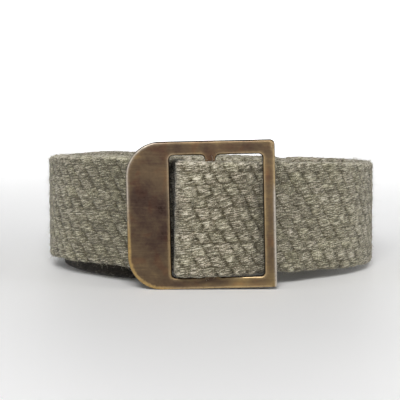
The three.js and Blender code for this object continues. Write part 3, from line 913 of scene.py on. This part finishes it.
def edge_polish(points, rim, edge):
    """How bare the rounded edges are worn, from what their profile gives, less along the slots' foot as
    painted shade, and with a painted highlight on the right slot's foot.
    """
    x, y, z = points.T
    foot, from_top, from_right = WINDOW["foot"], BUCKLE["height"] - z, BUCKLE["right"] - x
    edge = np.maximum(edge, 0.52 * low_left(x, z) * (rim > 0.1) * (rim < 0.9))
    at_top = falling(from_top, 0.8, 1.6) * (rim < 0.6)
    top_polish = np.interp(from_top, [row[0] for row in EDGE_PROFILE], TOP_POLISH)
    edge = edge + (top_polish - edge) * at_top
    # Painted shade: less polish along the slots' foot, under the band
    slot_foot_shade = falling(z, foot - 0.2, foot + 0.2) * (z > foot - 0.6)
    edge = edge * (1 - 0.6 * slot_foot_shade * (x > WINDOW["left"]) * (x < WINDOW["right"]))
    on_bar = smoothstep(x, 0.8, 2.0) * falling(x, 6.0, 7.2) * (z > 5) * (z < WINDOW["top"] + 1.5)
    edge = edge * (1 - 0.7 * on_bar)
    # Painted highlight: a polished line on the front of the right slot's foot, where light falls
    foot_highlight = smoothstep(x, 7.5, 9.0) * (x < WINDOW["right"]) * (np.abs(z - foot + 0.35) < 0.3)
    edge = np.maximum(edge, 0.36 * foot_highlight * (y < 1))
    at_right = (from_right < 1.6) * falling(z, 46, 48)
    return edge + (np.interp(from_right, *RIGHT_POLISH) - edge) * at_right


def spots_at(points, spots):
    """The sum of soft spots given as x, z, half width, half height, strength."""
    return sum(strength * np.exp(-((points[:, 0] - x) / wide) ** 2 - ((points[:, 2] - z) / high) ** 2)
               for x, z, wide, high, strength in spots)


def plate_warmth(points, rim):
    """How far the patina is worn, 1 golden at an edge; low in the slots' walls as painted shade, less so
    where painted light falls on the right slot's foot.
    """
    x, z = points[:, 0], points[:, 2]
    foot = WINDOW["foot"]
    middle = np.hypot((x - PLATE["x"]) / PLATE["half_width"], (z - PLATE["z"]) / PLATE["half_height"])
    near_edge = np.exp(-(rim / 1.05) ** 2)
    bars = smoothstep(x, WINDOW["left"] - 1, WINDOW["left"] + 3)
    left_part = bars * falling(x, -1, 5)
    at_foot = falling(z, 3, 6)
    foot_right = smoothstep(x, 4, 14) * at_foot
    foot_band = smoothstep(x, -6, 6) * np.exp(-((z - 1.4) / 0.7) ** 2)
    centre_bar = smoothstep(x, 1, 3) * falling(x, 5, 7) * (1 - at_foot)
    warmth = (0.08 + 0.21 * smoothstep(middle, 0.4, 1.2) + 0.26 * near_edge + 0.02 * bars
              - 0.14 * left_part + 0.22 * foot_right + 0.14 * foot_band - 0.12 * centre_bar)
    warmth = warmth + spots_at(points, SCUFFS)
    # Painted shade: the rims inside the slots are painted dark, and sunlit adds painted light on the
    # right slot's foot
    by_slot = (x > WINDOW["left"] - 0.6) & (x < WINDOW["right"] + 0.6)
    by_slot &= (z > foot - 0.6) & (z < WINDOW["top"] + 0.6)
    sunlit = smoothstep(x, 5, 8) * falling(z, foot, foot + 1)
    by_top = smoothstep(z, BUCKLE["height"] - 1.2, BUCKLE["height"] - 0.7)
    at_rim = np.where(by_slot, 0.15 * sunlit - 0.25, -0.05 - 0.15 * by_top)
    reach = np.where(by_slot, 0.40, 0.32 + 0.35 * by_top)
    return at_rim + (warmth - at_rim) * smoothstep(rim, 0.06, reach)


def pale_wear_and_highlight(points):
    """How pale the worn edges are: a little everywhere but the lower left corner, as their own colour,
    and more down the right side and over the top left corner as a painted highlight.
    """
    x, z = points[:, 0], points[:, 2]
    # Painted highlight down the right side and over the top left corner
    right = smoothstep(x, BUCKLE["right"] - 1.6, BUCKLE["right"] - 0.9) * falling(z, 31, 37)
    top_left = falling(x, -18, -6) * smoothstep(z, 18, 34)
    return np.clip(0.9 * right + 0.7 * top_left + 0.25 - 0.25 * low_left(x, z), 0, 1)


def add_buckle(name, points, triangles, edge, warmth):
    fields = {"edge": edge, "warmth": warmth, "pale": pale_wear_and_highlight(points), "ruddy": spots_at(points, RUDDY)}
    place(add_mesh(name, lean(points, 1.0), triangles, BRASS, fields), "buckle")


def lathe(profile, centre, segments=28):
    """Points and triangles of an upright turned piece from rows of radius and height."""
    angles = np.arange(segments) / segments * TAU
    rings = [np.column_stack([centre[0] + radius * np.cos(angles),
                              centre[1] + radius * np.sin(angles), np.full(segments, z)])
             for radius, z in profile]
    return closed_tube(np.array(rings))


def quarter_round(radius):
    """A rounded edge as rows of inset and rise, from the end face to the side."""
    turns = np.linspace(0, math.pi / 2, 4)
    return [(radius * (1 - math.sin(t)), radius * (1 - math.cos(t))) for t in turns]


def rounded_block(low, high, radius):
    """Points and triangles of a block with rounded edges."""
    front = [(inset, low[1] + rise) for inset, rise in quarter_round(radius)]
    back = [(inset, low[1] + high[1] - y) for inset, y in front[::-1]]
    rings = []
    for inset, y in front + back:
        corner = max(radius - inset, 0.02)
        margin = radius - corner
        rings.append(upright(rounded_loop(low[0] + margin, high[0] - margin, low[2] + margin,
                                          high[2] - margin, [corner] * 4, 5, 0), y))
    points, triangles = closed_tube(np.array(rings))
    return points, triangles[:, ::-1]


def rear_bar():
    """The hidden bar behind the plate, on its two lugs."""
    x, y, radius = REAR_BAR["x"], REAR_BAR["y"], REAR_BAR["radius"]
    foot, top = LUG["foot"], LUG["top"] + LUG["height"]
    edge = quarter_round(REAR_BAR["rounding"])
    profile = [(radius - inset, foot + rise) for inset, rise in edge]
    profile += [(radius - inset, top - rise) for inset, rise in edge[::-1]]
    parts = [lathe(profile, (x, y))]
    for z in (LUG["foot"], LUG["top"]):
        parts.append(rounded_block((x - LUG["width"] / 2, BUCKLE["thick"] / 2, z),
                                   (x + LUG["width"] / 2, y + radius + LUG["margin"], z + LUG["height"]),
                                   LUG["rounding"]))
    firsts = np.cumsum([0] + [len(points) for points, _ in parts])
    points = np.concatenate([points for points, _ in parts])
    triangles = np.concatenate([first + triangles for first, (_, triangles) in zip(firsts, parts)])
    add_buckle("buckle_rear_bar", points, triangles, np.full(len(points), 0.15),
               np.full(len(points), 0.42))


BRASS = brass_material()
buckle_frame()
rear_bar()


# The table and its sweep up to a wall
SWEEP = {"front": -1500.0, "half_width": 2500.0, "depth": 2200.0, "height": 800.0, "radius": 400.0}
# Its glow, in metres: how far off it builds up, then from and to as distances and strengths
GLOW_REACH = 0.95
OPEN_GLOW = (0.065, 0.16, 0.0, 0.09)  # round the belt: painted light that builds up away from it, leaving painted shade near it
RIGHT_GLOW = (0.028, 0.062, 0.0, 0.03)  # painted light on the table's right side


def table_material():
    """Pale matt table with painted light: it glows more and more towards the far wall, like a lit
    backdrop, more away from the belt, which leaves painted shade round it, and more on its right side.
    """
    n = Nodes("pale_table")
    at = n.add("TexCoord").outputs["Object"]
    x, y, _ = n.add("SeparateXYZ", {"Vector": at}).outputs
    away = n.math("MAXIMUM", y, 0.0)
    far = n.math("SUBTRACT", 1.0, n.math("EXPONENT", n.math("DIVIDE", away, -GLOW_REACH)))
    out = n.add("VectorMath", {0: n.scaled(at, (1.9, 0.45, 1.0))}, operation="LENGTH").outputs["Value"]
    glow = n.total(far, n.remap(out, *OPEN_GLOW), n.remap(x, *RIGHT_GLOW))
    mottle = n.remap(n.noise(at, 6.0, 3.0, 0.5), 0.3, 0.7)
    shade = n.mix(mottle, (0.895, 0.895, 0.90, 1.0), (0.92, 0.92, 0.92, 1.0))
    return n.finish(Base_Color=shade, Roughness=0.55, Specular_IOR_Level=0.3,
                    Emission_Color=(1.0, 1.0, 1.0, 1.0), Emission_Strength=glow)


def sweep_floor():
    """A pale table top that sweeps up into a wall far behind the belt."""
    radius, bend = SWEEP["radius"], SWEEP["depth"] - SWEEP["radius"]
    profile = [(SWEEP["front"], 0.0), (bend, 0.0)]
    for turn in np.linspace(0, math.pi / 2, 24)[1:]:
        profile.append((bend + radius * math.sin(turn), radius * (1 - math.cos(turn))))
    profile.append((SWEEP["depth"], SWEEP["height"]))
    points = [(x, y, z) for y, z in profile for x in (-SWEEP["half_width"], SWEEP["half_width"])]
    firsts = 2 * np.arange(len(profile) - 1)[:, None, None]
    triangles = (firsts + np.array([(0, 1, 2), (1, 3, 2)])).reshape(-1, 3)
    floor = add_mesh("floor", points, triangles, table_material())


sweep_floor()


def area_light(name, position, size, power, colour=(1, 1, 1)):
    """A light panel that faces the belt."""
    data = bpy.data.lights.new(name, "AREA")
    data.shape = "RECTANGLE"
    data.size, data.size_y = size
    data.energy = power
    data.color = colour
    obj = bpy.data.objects.new(name, data)
    obj.location = position
    obj.rotation_euler = (Vector((0, 0, 0.02)) - Vector(position)).to_track_quat("-Z", "Y").to_euler()
    bpy.context.scene.collection.objects.link(obj)


# A key from above the camera throws the straps' shadows back into the ring. Two side panels
# light the ends and the buckle's edges.
area_light("key", (-0.06, -1.15, 0.76), (0.60, 0.40), 17.0, (1.0, 0.993, 0.98))
for side, side_x in (("side_left", -1.10), ("side_right", 1.10)):
    area_light(side, (side_x, -0.60, 0.40), (0.6, 0.6), 3.0)

world = bpy.data.worlds.new("soft_room")
bpy.context.scene.world = world
world.use_nodes = True
background = world.node_tree.nodes["Background"].inputs
background["Color"].default_value = (0.95, 0.97, 1.0, 1.0)
background["Strength"].default_value = 0.09

CAMERA_TILT = 4.474  # degrees down from level
camera_data = bpy.data.cameras.new("camera")
camera_data.sensor_width = 36.0
camera_data.lens = 104.7
camera_data.clip_start = 0.01
camera = bpy.data.objects.new("camera", camera_data)
camera.location = (-0.00434, -0.46055, 0.06166)
camera.rotation_euler = (math.radians(90 - CAMERA_TILT), 0, 0)
bpy.context.scene.collection.objects.link(camera)
bpy.context.scene.camera = camera
bpy.context.scene.view_settings.view_transform = "Standard"
